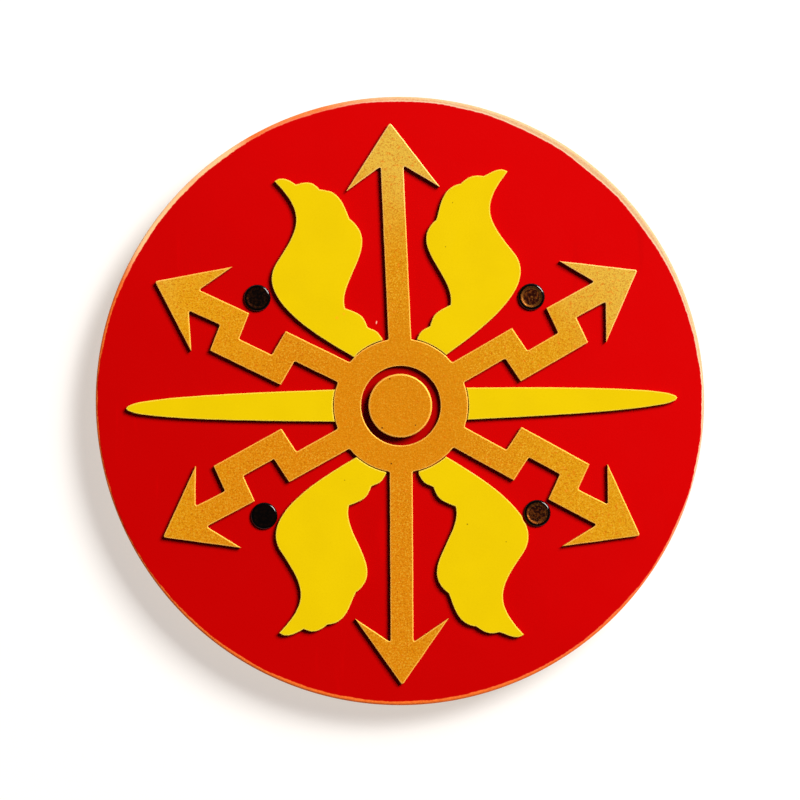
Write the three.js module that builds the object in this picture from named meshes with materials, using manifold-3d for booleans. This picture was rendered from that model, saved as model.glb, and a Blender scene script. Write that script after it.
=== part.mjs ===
// A round wooden toy shield with a Roman emblem of wings and thunderbolts, lying face up on its two straps.
// Millimetres, +Z up. The origin lies under the middle of the board, on the surface that the straps rest on.
// +Y is the top of the emblem and +X is the right-hand side of the face.
import * as THREE from "three";
import { mergeVertices } from "three/addons/utils/BufferGeometryUtils.js";
import Module from "manifold-3d";

// Board: one turned disc
const BOARD_DIAMETER = 350;
const BOARD_THICKNESS = 9;
const FRONT_EDGE_ROUNDING = 2.5;
const BACK_EDGE_ROUNDING = 1.5;

// Emblem: flat pieces sawn from one sheet, and a thicker boss in the middle
const SHEET_THICKNESS = 3.2;
const EMBLEM_CENTRE = [0.5, -2.7];
const GLUE_LINE = 0.1;
const NEIGHBOUR_GAP = 0.4;
const SAW_RADIUS = 1;
const WORN_POINT_RADIUS = 0.5;
const ARROW_POINT_RADIUS = 1.3;
const BARB_RADIUS = 0.2;

const RING_DIAMETER = 77.2;
const RING_HOLE_DIAMETER = 45.6;
const BOSS_GAP = 4.5;
const BOSS_THICKNESS = 6.4;
const BOSS_EDGE_ROUNDING = 0.8;
const BOSS_OFFSET = [-0.3, 0];

// How far, in millimetres, one unit of the hand-work figures below goes; 0 sets every piece exactly
const HAND_SLIP = 1;

// Straight arrows: margins are from the point to the edge of the board, measured along its radius
const TOP_ARROW_MARGIN = 12.2;
const BOTTOM_ARROW_MARGIN = 14.5;
const SHAFT_WIDTH = 13.2;
const HEAD_LENGTH = 38.6;
const HEAD_WIDTH = 54.3;
const TOP_HEAD_SWEEP = 13.4;
const BOTTOM_HEAD_SWEEP = 13.9;
const STRAIGHT_ARROWS = [
  { bearing: 92.6, aside: -1.2, margin: TOP_ARROW_MARGIN, sweep: TOP_HEAD_SWEEP },
  { bearing: 270.3, aside: 0, margin: BOTTOM_ARROW_MARGIN, sweep: BOTTOM_HEAD_SWEEP },
];

// Thunderbolt arrows: the shaft steps aside and back again on its way to the head
const THUNDERBOLT_SHAFT_WIDTH = 13.3;
const THUNDERBOLT_SHAFT_ASIDE = 0.6;
const THUNDERBOLT_HEAD_LENGTH = 36.6;
const THUNDERBOLT_HEAD_WIDTH = 54.3;
const THUNDERBOLT_HEAD_SWEEP = 11.6;
const STEP_ASIDE = 15.8;
const STEP_LENGTH = 12.2;
const STEP_LEAN = 1.2;
const STEP_PLACES = [0.36, 0.722];
const THUNDERBOLT_MARGIN = 18.2;

// Spikes: long blades to the left and right; the edge's shares are of the length and of the half width
const SPIKE_WIDTH = 19;
const RIGHT_SPIKE_MARGIN = 16.1;
const LEFT_SPIKE_MARGIN = 17.2;
const SPIKE_EDGE = { c1: [0.43, 0.89], c2: [1, 0.72] };
const SPIKES = [
  { name: "spike_right", bearing: 1.6, aside: 0.1, margin: RIGHT_SPIKE_MARGIN },
  { name: "spike_left", bearing: 180.75, aside: -0.5, margin: LEFT_SPIKE_MARGIN },
];

// Wings: the outline is in shares of the wing's own width and height, both from the ring's centre.
// Each wing's notches, where its feathers meet, are set off their place by hand as well.
const WING_WIDTH = 72;
const WING_MARGIN = 42.2;
const WING_OUTLINE = {
  start: [0.132, 0.288],
  curves: [
    { c1: [0.179, 0.341], c2: [0.193, 0.328], to: [0.249, 0.346] },
    { c1: [0.281, 0.398], c2: [0.296, 0.403], to: [0.422, 0.431] },
    { c1: [0.479, 0.553], c2: [0.096, 0.703], to: [0.347, 0.805], notch: 0 },
    { c1: [0.396, 0.858], c2: [0.414, 0.943], to: [0.568, 0.951], notch: 1 },
    { c1: [0.644, 0.985], c2: [0.692, 0.986], to: [0.754, 0.98], notch: 2 },
    { c1: [0.811, 0.986], c2: [0.888, 1.017], to: [0.95, 0.99] },
    { c1: [0.71, 0.847], c2: [0.758, 0.788], to: [0.954, 0.639] },
    { c1: [1.158, 0.483], c2: [0.625, 0.306], to: [0.372, 0.22] },
  ],
  root: [0.15, 0.14],
};

// Fasteners and straps
const BOLT_SPACING_ACROSS = 157.2;
const BOLT_SPACING_UP = 124.8;
const BOLT_HEAD_ROOM = 1.2;
const BOLT_HEAD_DIAMETER = 15.5;
const BOLT_HEAD_HEIGHT = 2;
const BOLT_HEAD_ROUNDING = 0.9;
const BOLT_RECESS_DIAMETER = 10.6;
const BOLT_RECESS_DEPTH = 0.4;
const SHANK_DIAMETER = 6;
const SHANK_CLEARANCE = 0.3;
const NUT_DIAMETER = 15;
const NUT_HEIGHT = 4.4;
const NUT_ROUNDING = 1.5;
const NUT_GRIP = 2.6;
const STRAP_WIDTH = 30;
const STRAP_THICKNESS = 3;
const STRAP_TAB_INNER = 10;
const STRAP_CROWN_LENGTH = 50;
const FINGER_ROOM = 13;
const SEAT_GAP = 0.1;

// The four quarters of the face: the sides they lie on, and how hand work set each piece off its place
const QUARTERS = [
  {
    name: "upper_right",
    sides: [1, 1],
    thunderbolt: { angle: 30, out: -0.1, aside: -0.5 },
    wing: { turn: 3.9, shift: [2.1, -1.3], notches: [[0.5, -0.5], [0, 0], [0, -0.4]] },
    bolt: [-3.5, 0.2],
  },
  {
    name: "upper_left",
    sides: [-1, 1],
    thunderbolt: { angle: 26, out: 1.5, aside: 2.3 },
    wing: { turn: -2, shift: [-0.4, -0.2], notches: [[1.2, 1.5], [1.8, -0.4], [1.8, -1]] },
    bolt: [3.9, -0.5],
  },
  {
    name: "lower_left",
    sides: [-1, -1],
    thunderbolt: { angle: 28.9, out: -0.7, aside: 0.2 },
    wing: { turn: -1.6, shift: [-2.2, 1], notches: [[0, 0], [0, -0.4], [0, -1.4]] },
    bolt: [-0.1, 0.9],
  },
  {
    name: "lower_right",
    sides: [1, -1],
    thunderbolt: { angle: 28.8, out: -0.3, aside: -0.9 },
    wing: { turn: -1, shift: [0, 1.2], notches: [[0.6, 0], [0.3, 0], [0, -0.3]] },
    bolt: [-0.2, -0.6],
  },
];
const STRAP_SIDES = [
  { name: "strap_left", top: "upper_left", bottom: "lower_left" },
  { name: "strap_right", top: "upper_right", bottom: "lower_right" },
];

// How finely the curved shapes are divided
const BOARD_SEGMENTS = 96;
const RING_SEGMENTS = 64;
const FASTENER_SEGMENTS = 20;
const CURVE_SEGMENTS = 6;
const LONGEST_CHORD = 4.5;
const SPIKE_SEGMENTS = 14;
const CORNER_SEGMENTS = 3;
const ROUNDING_SEGMENTS = 3;
const STRAP_BEND_SEGMENTS = 10;

// The most of an edge that the rounding of one of its corners takes, and how far a cutter runs past its solid
const MOST_OF_AN_EDGE = 0.45;
const CUTTER_MARGIN = 1;

const BOARD_RADIUS = BOARD_DIAMETER / 2;
const RING_RADIUS = RING_DIAMETER / 2;
const BOARD_BACK_Z = FINGER_ROOM + STRAP_THICKNESS;
const BOARD_FRONT_Z = BOARD_BACK_Z + BOARD_THICKNESS;
const NUT_TOP_Z = BOARD_BACK_Z - SEAT_GAP - STRAP_THICKNESS - SEAT_GAP;

const red = new THREE.MeshStandardMaterial({ color: 0xd00004, roughness: 0.45, metalness: 0 });
const gold = new THREE.MeshStandardMaterial({ color: 0xdc8a12, roughness: 0.4, metalness: 0.6 });
const yellow = new THREE.MeshStandardMaterial({ color: 0xf1cb00, roughness: 0.45, metalness: 0 });
const bronze = new THREE.MeshStandardMaterial({ color: 0x2a1810, roughness: 0.35, metalness: 0.9 });
const leather = new THREE.MeshStandardMaterial({ color: 0x6b3f22, roughness: 0.7, metalness: 0 });

const wasm = await Module();
wasm.setup();

// A closed geometry as a solid that can be cut
function solidOf(geometry) {
  const bare = geometry.index ? geometry.toNonIndexed() : geometry.clone();
  bare.deleteAttribute("normal");
  bare.deleteAttribute("uv");
  const merged = mergeVertices(bare);
  return new wasm.Manifold(
    new wasm.Mesh({
      numProp: 3,
      vertProperties: merged.attributes.position.array,
      triVerts: new Uint32Array(merged.index.array),
    }),
  );
}

function geometryOf(solid) {
  const cut = solid.getMesh();
  const geometry = new THREE.BufferGeometry();
  geometry.setAttribute("position", new THREE.BufferAttribute(cut.vertProperties, 3));
  geometry.setIndex(new THREE.BufferAttribute(cut.triVerts, 1));
  geometry.computeVertexNormals();
  return geometry;
}

function namedMesh(name, geometry, material, position = [0, 0, 0]) {
  const mesh = new THREE.Mesh(geometry, material);
  mesh.name = name;
  mesh.position.set(...position);
  return mesh;
}

function radians(degrees) {
  return THREE.MathUtils.degToRad(degrees);
}

// A profile of radius and height, turned about the upright axis
function turned(profile, segments) {
  const points = profile.map(([radius, height]) => new THREE.Vector2(radius, height));
  return new THREE.LatheGeometry(points, segments).rotateX(Math.PI / 2);
}

function cylinder(radius, bottom, top, segments) {
  return turned([[0, bottom], [radius, bottom], [radius, top], [0, top]], segments);
}

function slab(outline, thickness, holes = []) {
  const shape = new THREE.Shape(outline);
  shape.holes = holes.map((hole) => new THREE.Path(hole));
  return new THREE.ExtrudeGeometry(shape, { depth: thickness, bevelEnabled: false });
}

// Points along a circle from one angle to another, both in radians
function arc(radius, from, to, segments) {
  const points = [];
  for (let i = 0; i <= segments; i += 1) {
    const angle = from + ((to - from) * i) / segments;
    points.push(new THREE.Vector2(radius * Math.cos(angle), radius * Math.sin(angle)));
  }
  return points;
}

// A quarter round of a turned profile, from one angle to another about its centre
function profileRound(centreRadius, centreHeight, rounding, from, to) {
  return arc(rounding, radians(from), radians(to), ROUNDING_SEGMENTS).map((p) => [
    centreRadius + p.x,
    centreHeight + p.y,
  ]);
}

// The corners of an outline, each with its radius, as points along the rounded outline
function roundedOutline(corners) {
  const points = [];
  corners.forEach(({ at, radius }, i) => {
    if (!radius) {
      points.push(at);
      return;
    }
    const before = corners[(i + corners.length - 1) % corners.length].at.clone().sub(at);
    const after = corners[(i + 1) % corners.length].at.clone().sub(at);
    const halfAngle = before.angleTo(after) / 2;
    const room = MOST_OF_AN_EDGE * Math.min(before.length(), after.length());
    const trim = Math.min(radius / Math.tan(halfAngle), room);
    const start = at.clone().addScaledVector(before.normalize(), trim);
    const end = at.clone().addScaledVector(after.normalize(), trim);
    points.push(...new THREE.QuadraticBezierCurve(start, at, end).getPoints(CORNER_SEGMENTS));
  });
  return points;
}

// Where a line beside an arrow's axis meets the ring
function ringRoot(aside) {
  return Math.sqrt(RING_RADIUS ** 2 - aside ** 2);
}

// Corners of an arrow, as [along, aside, radius], from its right-hand root round the point to its left one
function straightArrowCorners(aside, margin, sweep) {
  const point = BOARD_RADIUS - margin;
  const barb = point - HEAD_LENGTH;
  const notch = barb + sweep;
  const halfShaft = SHAFT_WIDTH / 2;
  const halfHead = HEAD_WIDTH / 2;
  return [
    [ringRoot(aside - halfShaft), aside - halfShaft, SAW_RADIUS],
    [notch, aside - halfShaft, SAW_RADIUS],
    [barb, aside - halfHead, BARB_RADIUS],
    [point, aside, ARROW_POINT_RADIUS],
    [barb, aside + halfHead, BARB_RADIUS],
    [notch, aside + halfShaft, SAW_RADIUS],
    [ringRoot(aside + halfShaft), aside + halfShaft, SAW_RADIUS],
  ];
}

function thunderboltCorners(aside, out) {
  const point = BOARD_RADIUS - THUNDERBOLT_MARGIN + out;
  const barb = point - THUNDERBOLT_HEAD_LENGTH;
  const notch = barb + THUNDERBOLT_HEAD_SWEEP;
  const halfHead = THUNDERBOLT_HEAD_WIDTH / 2;
  const halfShaft = THUNDERBOLT_SHAFT_WIDTH / 2;
  const upper = aside + THUNDERBOLT_SHAFT_ASIDE + halfShaft;
  const lower = aside + THUNDERBOLT_SHAFT_ASIDE - halfShaft;
  const [first, second] = STEP_PLACES.map((share) => RING_RADIUS + share * (notch - RING_RADIUS));
  const near = STEP_LENGTH / 2 - STEP_LEAN / 2;
  const far = STEP_LENGTH / 2 + STEP_LEAN / 2;
  return [
    [ringRoot(lower), lower, SAW_RADIUS],
    [first - far, lower, SAW_RADIUS],
    [first - near, lower - STEP_ASIDE, WORN_POINT_RADIUS],
    [second + near, lower - STEP_ASIDE, WORN_POINT_RADIUS],
    [second + far, lower, SAW_RADIUS],
    [notch, aside - halfShaft, SAW_RADIUS],
    [barb, aside - halfHead, BARB_RADIUS],
    [point, aside, ARROW_POINT_RADIUS],
    [barb, aside + halfHead, BARB_RADIUS],
    [notch, aside + halfShaft, SAW_RADIUS],
    [second - near, upper, WORN_POINT_RADIUS],
    [second - far, upper - STEP_ASIDE, SAW_RADIUS],
    [first + far, upper - STEP_ASIDE, SAW_RADIUS],
    [first + near, upper, WORN_POINT_RADIUS],
    [ringRoot(upper), upper, SAW_RADIUS],
  ];
}

// A bolt's place from the emblem's centre
function boltPlace({ sides, bolt: [across, up] }) {
  return new THREE.Vector2(
    sides[0] * (BOLT_SPACING_ACROSS / 2 + HAND_SLIP * across),
    sides[1] * (BOLT_SPACING_UP / 2 + HAND_SLIP * up),
  );
}

// The same from the board's centre
function boltPlaceOnBoard(quarter) {
  return boltPlace(quarter).add(new THREE.Vector2(...EMBLEM_CENTRE));
}

// A point of a quarter's own frame on the face, mirrored to the quarter's sides
function inQuarter(sides, angle, along, aside) {
  const turn = radians(angle);
  return new THREE.Vector2(
    sides[0] * (along * Math.cos(turn) - aside * Math.sin(turn)),
    sides[1] * (along * Math.sin(turn) + aside * Math.cos(turn)),
  );
}

// All six arrows as corner lists in the order that they stand round the ring
function arrowsInOrder() {
  const straight = STRAIGHT_ARROWS.map(({ bearing, aside, margin, sweep }) =>
    straightArrowCorners(HAND_SLIP * aside, margin, sweep).map(([along, beside, radius]) => ({
      at: inQuarter([1, 1], bearing, along, beside),
      radius,
    })),
  );
  const thunderbolts = QUARTERS.map(({ sides, thunderbolt: { angle, out, aside } }) => {
    const corners = thunderboltCorners(HAND_SLIP * aside, HAND_SLIP * out).map(([along, beside, radius]) => ({
      at: inQuarter(sides, angle, along, beside),
      radius,
    }));
    return sides[0] * sides[1] > 0 ? corners : corners.reverse();
  });
  const rootAngle = (corners) => corners[0].at.angle();
  return [...straight, ...thunderbolts].sort((a, b) => rootAngle(a) - rootAngle(b));
}

// The ring and its six arrows: one sawn piece
function arrowStar() {
  const arrows = arrowsInOrder();
  const corners = [];
  arrows.forEach((arrow, i) => {
    corners.push(...arrow);
    const from = arrow[arrow.length - 1].at.angle();
    const next = arrows[(i + 1) % arrows.length][0].at.angle();
    const to = next > from ? next : next + 2 * Math.PI;
    const steps = Math.max(2, Math.round(((to - from) / (2 * Math.PI)) * RING_SEGMENTS));
    const between = arc(RING_RADIUS, from, to, steps).slice(1, -1);
    corners.push(...between.map((at) => ({ at, radius: 0 })));
  });
  const hole = arc(RING_HOLE_DIAMETER / 2, 0, 2 * Math.PI, RING_SEGMENTS).slice(0, -1);
  return slab(roundedOutline(corners), SHEET_THICKNESS, [hole]);
}

// An upright cylinder that cuts through the sheet, for the room that a wing or a spike leaves
function roomInSheet(radius, segments) {
  return cylinder(radius, -CUTTER_MARGIN, SHEET_THICKNESS + CUTTER_MARGIN, segments);
}

function ringRoom() {
  return solidOf(roomInSheet(RING_RADIUS + NEIGHBOUR_GAP, RING_SEGMENTS));
}

function boltHeadRoom(quarter) {
  const { x, y } = boltPlace(quarter);
  const radius = BOLT_HEAD_DIAMETER / 2 + BOLT_HEAD_ROOM;
  return solidOf(roomInSheet(radius, FASTENER_SEGMENTS).translate(x, y, 0));
}

function wing(quarter) {
  const { sides, wing: { turn, shift, notches } } = quarter;
  const height = BOARD_RADIUS - WING_MARGIN;
  const slipped = (slip) => new THREE.Vector2(sides[0] * slip[0], sides[1] * slip[1]).multiplyScalar(HAND_SLIP);
  const offset = slipped(shift);
  const placed = ([across, up]) => inQuarter(sides, turn, across * WING_WIDTH, up * height).add(offset);
  const outline = [placed(WING_OUTLINE.root), placed(WING_OUTLINE.start)];
  let from = outline[1];
  WING_OUTLINE.curves.forEach(({ c1, c2, to, notch }) => {
    const end = placed(to);
    if (notch !== undefined) {
      end.add(slipped(notches[notch]));
    }
    const curve = new THREE.CubicBezierCurve(from, placed(c1), placed(c2), end);
    const segments = Math.max(CURVE_SEGMENTS, Math.ceil(from.distanceTo(end) / LONGEST_CHORD));
    outline.push(...curve.getPoints(segments).slice(1));
    from = end;
  });
  const blank = solidOf(slab(outline, SHEET_THICKNESS));
  return geometryOf(blank.subtract(ringRoom()).subtract(boltHeadRoom(quarter)));
}

function spike({ bearing, aside, margin }) {
  const reach = BOARD_RADIUS - margin;
  const root = RING_HOLE_DIAMETER / 2;
  const half = SPIKE_WIDTH / 2;
  const shared = ([along, beside]) => new THREE.Vector2(root + along * (reach - root), beside * half);
  const edge = new THREE.CubicBezierCurve(
    shared([0, 1]),
    shared(SPIKE_EDGE.c1),
    shared(SPIKE_EDGE.c2),
    shared([1, 0]),
  ).getPoints(SPIKE_SEGMENTS);
  const otherEdge = edge.slice(0, -1).reverse().map((p) => new THREE.Vector2(p.x, -p.y));
  const outline = [...edge, ...otherEdge].map((p) =>
    inQuarter([1, 1], bearing, p.x, p.y + HAND_SLIP * aside),
  );
  return geometryOf(solidOf(slab(outline, SHEET_THICKNESS)).subtract(ringRoom()));
}

function boss() {
  const radius = RING_HOLE_DIAMETER / 2 - BOSS_GAP;
  const inner = radius - BOSS_EDGE_ROUNDING;
  const shoulder = BOSS_THICKNESS - BOSS_EDGE_ROUNDING;
  return turned(
    [
      [0, 0],
      [radius, 0],
      ...profileRound(inner, shoulder, BOSS_EDGE_ROUNDING, 0, 90),
      [0, BOSS_THICKNESS],
    ],
    RING_SEGMENTS,
  );
}

function board() {
  const back = BACK_EDGE_ROUNDING;
  const front = FRONT_EDGE_ROUNDING;
  const disc = turned(
    [
      [0, 0],
      ...profileRound(BOARD_RADIUS - back, back, back, -90, 0),
      ...profileRound(BOARD_RADIUS - front, BOARD_THICKNESS - front, front, 0, 90),
      [0, BOARD_THICKNESS],
    ],
    BOARD_SEGMENTS,
  );
  const drill = cylinder(
    SHANK_DIAMETER / 2 + SHANK_CLEARANCE,
    -CUTTER_MARGIN,
    BOARD_THICKNESS + CUTTER_MARGIN,
    FASTENER_SEGMENTS,
  );
  const drilled = QUARTERS.map(boltPlaceOnBoard).reduce(
    (solid, { x, y }) => solid.subtract(solidOf(drill.clone().translate(x, y, 0))),
    solidOf(disc),
  );
  return geometryOf(drilled);
}

// Head with a rounded shoulder and a dished top; its shank hangs below it, through the board and the strap
function bolt() {
  const radius = BOLT_HEAD_DIAMETER / 2;
  const inner = radius - BOLT_HEAD_ROUNDING;
  const shoulder = BOLT_HEAD_HEIGHT - BOLT_HEAD_ROUNDING;
  const floor = BOLT_HEAD_HEIGHT - BOLT_RECESS_DEPTH;
  const recess = BOLT_RECESS_DIAMETER / 2;
  const shank = SHANK_DIAMETER / 2;
  const shankEnd = NUT_TOP_Z - NUT_GRIP - (BOARD_FRONT_Z + SEAT_GAP);
  return turned(
    [
      [0, shankEnd],
      [shank, shankEnd],
      [shank, 0],
      [radius, 0],
      ...profileRound(inner, shoulder, BOLT_HEAD_ROUNDING, 0, 90),
      [recess, BOLT_HEAD_HEIGHT],
      [recess - BOLT_RECESS_DEPTH, floor],
      [0, floor],
    ],
    FASTENER_SEGMENTS,
  );
}

// Cap nut, its blind bore open at the top and its rounded cap below
function nut() {
  const radius = NUT_DIAMETER / 2;
  const bore = SHANK_DIAMETER / 2 + SHANK_CLEARANCE;
  const boreEnd = -(NUT_GRIP + SHANK_CLEARANCE);
  return turned(
    [
      [0, -NUT_HEIGHT],
      ...profileRound(radius - NUT_ROUNDING, NUT_ROUNDING - NUT_HEIGHT, NUT_ROUNDING, -90, 0),
      [radius, 0],
      [bore, 0],
      [bore, boreEnd],
      [0, boreEnd],
    ],
    FASTENER_SEGMENTS,
  );
}

// The strap's middle line, as [along, height]: flat tabs at the board, a flat crown at the surface it lies on
function strapLine(boltSpacing) {
  const crown = STRAP_CROWN_LENGTH / 2;
  const tab = boltSpacing / 2 - STRAP_TAB_INNER;
  const end = boltSpacing / 2 + STRAP_WIDTH / 2;
  const low = STRAP_THICKNESS / 2;
  const high = BOARD_BACK_Z - SEAT_GAP - STRAP_THICKNESS / 2;
  const half = [];
  for (let i = 0; i <= STRAP_BEND_SEGMENTS; i += 1) {
    const share = i / STRAP_BEND_SEGMENTS;
    const rise = (1 - Math.cos(Math.PI * share)) / 2;
    const slope = ((high - low) * Math.PI * Math.sin(Math.PI * share)) / 2 / (tab - crown);
    half.push({ along: crown + (tab - crown) * share, height: low + (high - low) * rise, slope });
  }
  half.push({ along: end, height: high, slope: 0 });
  const otherHalf = half.map((p) => ({ along: -p.along, height: p.height, slope: -p.slope })).reverse();
  return [...otherHalf, ...half];
}

// One side of the strap's thickness, half of it away from the middle line
function strapSide(line, away) {
  return line.map(({ along, height, slope }) => {
    const length = Math.hypot(1, slope);
    return new THREE.Vector2(along - (away * slope) / length, height + away / length);
  });
}

function strap(boltSpacing) {
  const line = strapLine(boltSpacing);
  const half = STRAP_THICKNESS / 2;
  const side = [...strapSide(line, -half), ...strapSide(line, half).reverse()];
  const width = STRAP_WIDTH + 2 * CUTTER_MARGIN;
  const across = new THREE.Vector3(1, 0, 0);
  const along = new THREE.Vector3(0, 1, 0);
  const up = new THREE.Vector3(0, 0, 1);
  const bent = slab(side, width)
    .translate(0, 0, -width / 2)
    .applyMatrix4(new THREE.Matrix4().makeBasis(along, up, across));
  const ends = [1, -1].map((end) =>
    arc(STRAP_WIDTH / 2, 0, Math.PI, RING_SEGMENTS / 4).map(
      (p) => new THREE.Vector2(end * p.x, end * (p.y + boltSpacing / 2)),
    ),
  );
  const plan = slab(ends.flat(), BOARD_BACK_Z + CUTTER_MARGIN).translate(0, 0, -CUTTER_MARGIN / 2);
  const drill = cylinder(SHANK_DIAMETER / 2 + SHANK_CLEARANCE, 0, BOARD_FRONT_Z, FASTENER_SEGMENTS);
  const drilled = [1, -1].reduce(
    (solid, end) => solid.subtract(solidOf(drill.clone().translate(0, (end * boltSpacing) / 2, 0))),
    solidOf(bent).intersect(solidOf(plan)),
  );
  return geometryOf(drilled);
}

// The strap between two bolts, turned into line with them
function placedStrap({ name, top, bottom }) {
  const [topBolt, bottomBolt] = [top, bottom].map((quarter) =>
    boltPlaceOnBoard(QUARTERS.find((q) => q.name === quarter)),
  );
  const line = topBolt.clone().sub(bottomBolt);
  const middle = topBolt.clone().add(bottomBolt).divideScalar(2);
  const mesh = namedMesh(name, strap(line.length()), leather, [middle.x, middle.y, 0]);
  mesh.rotation.z = line.angle() - Math.PI / 2;
  return mesh;
}

const emblem = new THREE.Group();
emblem.position.set(...EMBLEM_CENTRE, BOARD_FRONT_Z + GLUE_LINE);
emblem.add(namedMesh("arrow_star", arrowStar(), gold));
emblem.add(namedMesh("centre_boss", boss(), gold, [...BOSS_OFFSET, 0]));
QUARTERS.forEach((quarter) => emblem.add(namedMesh(`wing_${quarter.name}`, wing(quarter), yellow)));
SPIKES.forEach((one) => emblem.add(namedMesh(one.name, spike(one), yellow)));

const shield = new THREE.Group();
shield.add(namedMesh("shield_board", board(), red, [0, 0, BOARD_BACK_Z]));
shield.add(emblem);
QUARTERS.forEach((quarter) => {
  const { x, y } = boltPlaceOnBoard(quarter);
  shield.add(namedMesh(`bolt_${quarter.name}`, bolt(), bronze, [x, y, BOARD_FRONT_Z + SEAT_GAP]));
  shield.add(namedMesh(`nut_${quarter.name}`, nut(), bronze, [x, y, NUT_TOP_Z]));
});
STRAP_SIDES.forEach((side) => shield.add(placedStrap(side)));

export default shield;
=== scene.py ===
"""The looks of a round wooden toy shield with a Roman emblem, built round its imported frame.

Each piece takes its outline, place and thickness from its node of the frame. It is made again here in
metres, with refined curves, rounded edges and small marks of hand work, and gets a procedural finish.
"""
import math

import bmesh
import bpy
import numpy as np
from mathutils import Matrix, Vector, noise
from mathutils.geometry import delaunay_2d_cdt


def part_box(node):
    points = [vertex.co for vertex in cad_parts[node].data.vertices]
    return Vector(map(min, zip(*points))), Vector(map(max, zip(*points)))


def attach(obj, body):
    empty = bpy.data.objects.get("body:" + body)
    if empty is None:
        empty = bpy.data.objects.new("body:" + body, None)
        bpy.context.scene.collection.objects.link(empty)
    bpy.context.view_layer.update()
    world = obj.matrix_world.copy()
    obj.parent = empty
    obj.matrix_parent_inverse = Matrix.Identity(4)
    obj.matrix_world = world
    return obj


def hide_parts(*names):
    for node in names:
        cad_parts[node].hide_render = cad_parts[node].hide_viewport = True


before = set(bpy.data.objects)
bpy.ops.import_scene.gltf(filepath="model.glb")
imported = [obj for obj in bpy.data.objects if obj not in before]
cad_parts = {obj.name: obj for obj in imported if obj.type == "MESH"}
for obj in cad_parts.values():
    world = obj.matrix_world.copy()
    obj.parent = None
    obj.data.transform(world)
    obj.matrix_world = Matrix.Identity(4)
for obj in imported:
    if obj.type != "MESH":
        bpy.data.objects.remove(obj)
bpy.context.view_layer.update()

MM = 0.001
BODY = "root"
QUARTERS = ("upper_right", "upper_left", "lower_left", "lower_right")
WINGS = tuple(f"wing_{quarter}" for quarter in QUARTERS)
SPIKES = ("spike_left", "spike_right")
STRAPS = {"strap_left": ("upper_left", "lower_left"), "strap_right": ("upper_right", "lower_right")}

# How the photograph's pixels lie on the face: the board's centre, and the size of one pixel
PHOTO_CENTRE = (399.9, 401.0)
PIXEL = 0.5751 * MM

# How the frame's outlines are refined
FLAT = 0.01 * MM
PLACE_DIGITS = 7
OUTLINE_STEP = 0.8 * MM
STRAIGHT_EDGE = 5.5 * MM
SHORT_EDGE = 0.8 * MM
CORNER_TURN = math.radians(25)
NOTCH_TURN = math.radians(18)
PARALLEL = 0.02
WELD = 0.0005 * MM
SHARP_EDGE = math.radians(40)
TRIANGLES_INSIDE = 1

# Hand sawing: how far the saw wanders, and over what length
SAW_WANDER = 0.09 * MM
SAW_WAVE = 9 * MM

# Rounded edges of the sheet pieces
SHEET_TOP_ROUNDING = 0.45 * MM
SHEET_BOTTOM_ROUNDING = 0.15 * MM
FLAT_MARGIN = 0.3 * MM
ROUNDING_STEPS = 5
COARSE_STEPS = 2
FINE_STEPS = 8

# Board
BOARD_FRONT_ROUNDING = 1.6 * MM
BOARD_BACK_ROUNDING = 1.5 * MM
BOARD_CLEARANCE = 0.01 * MM
BOARD_SEGMENTS = 360
SHANK_CLEARANCE = 0.3 * MM

# Boss
BOSS_TOP_ROUNDING = 0.8 * MM
BOSS_SEGMENTS = 160

# Fasteners
FASTENER_SEGMENTS = 72
SHANK_RADIUS = 3 * MM
BOLT_SHOULDER = 1.2 * MM
BOLT_HEAD_HEIGHT = 2 * MM
BOLT_RECESS_RADIUS = 6.2 * MM
BOLT_RECESS_SLOPE = 1.4 * MM
BOLT_DISH_STEPS = 6
BOLT_LAND_WEAR = 0.3
BOLT_FLOOR_WEAR = 0.7
BOLT_SLOPE_WEAR = (0.75, 1.0)
NUT_ROUNDING = 1.5 * MM
NUT_GRIP = 2.6 * MM

# The dish in each bolt's head: its depth, and how much of its plating is worn off
DISHES = {
    "upper_right": (0.22 * MM, 1.0),
    "upper_left": (0.14 * MM, 0.32),
    "lower_left": (0.06 * MM, 0.12),
    "lower_right": (0.2 * MM, 0.9),
}

# Straps
STRAP_STEP = 1.5 * MM
STRAP_SAMPLE = 0.25 * MM
STRAP_END_STEPS = 24
STRAP_EDGE_ROUNDING = 0.9 * MM
STITCH_INSET = 3.5 * MM
STITCH_GROOVE_WIDTH = 1.5 * MM
STITCH_GROOVE_DEPTH = 0.6 * MM
STITCH_PITCH = 4.2 * MM
STITCH_LENGTH = 3.2 * MM
STITCH_GROOVE_SECTION = ((2, 0), (1, 0), (0.5, 0.75), (0, 1), (-0.5, 0.75), (-1, 0))
THREAD_RADIUS = 0.3 * MM
THREAD_RISE = 0.8
THREAD_DIVE = 1.6
THREAD_DIVE_POWER = 4
THREAD_TAPER = 0.9
THREAD_TAPER_POWER = 6
THREAD_SIDES = 8
THREAD_STATIONS = 9
THREAD_PROBE = 0.8 * MM

# The paint line on the board, a slightly oval round a little off centre, which wavers
PAINT_LINE_MARGIN = 2.1 * MM
PAINT_LINE_CENTRE = (-0.23 * MM, -0.71 * MM)
PAINT_LINE_NARROW_WAY = math.radians(76)
PAINT_LINE_OVAL = 0.7 * MM
PAINT_LINE_WAVER = 0.9 * MM
PAINT_LINE_WAVES = ((3, math.radians(36.5), 0.51 * MM), (4, math.radians(48), 0.3 * MM))
PAINT_LINE_FUZZ = 0.45 * MM
PAINT_LINE_SOFTNESS = 0.25 * MM

# The groove round the boss, where the red is painted deeper as painted shade: its reach as a share of the
# boss's radius
GROOVE_SHADE_REACH = 1.3
GROOVE_SHADE_SOFTNESS = 1.5 * MM

# Where the paint of the emblem's pieces stops on the way down their walls, as the upward share of the normal
WALL_BLEND = (0.35, 0.1)
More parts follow.
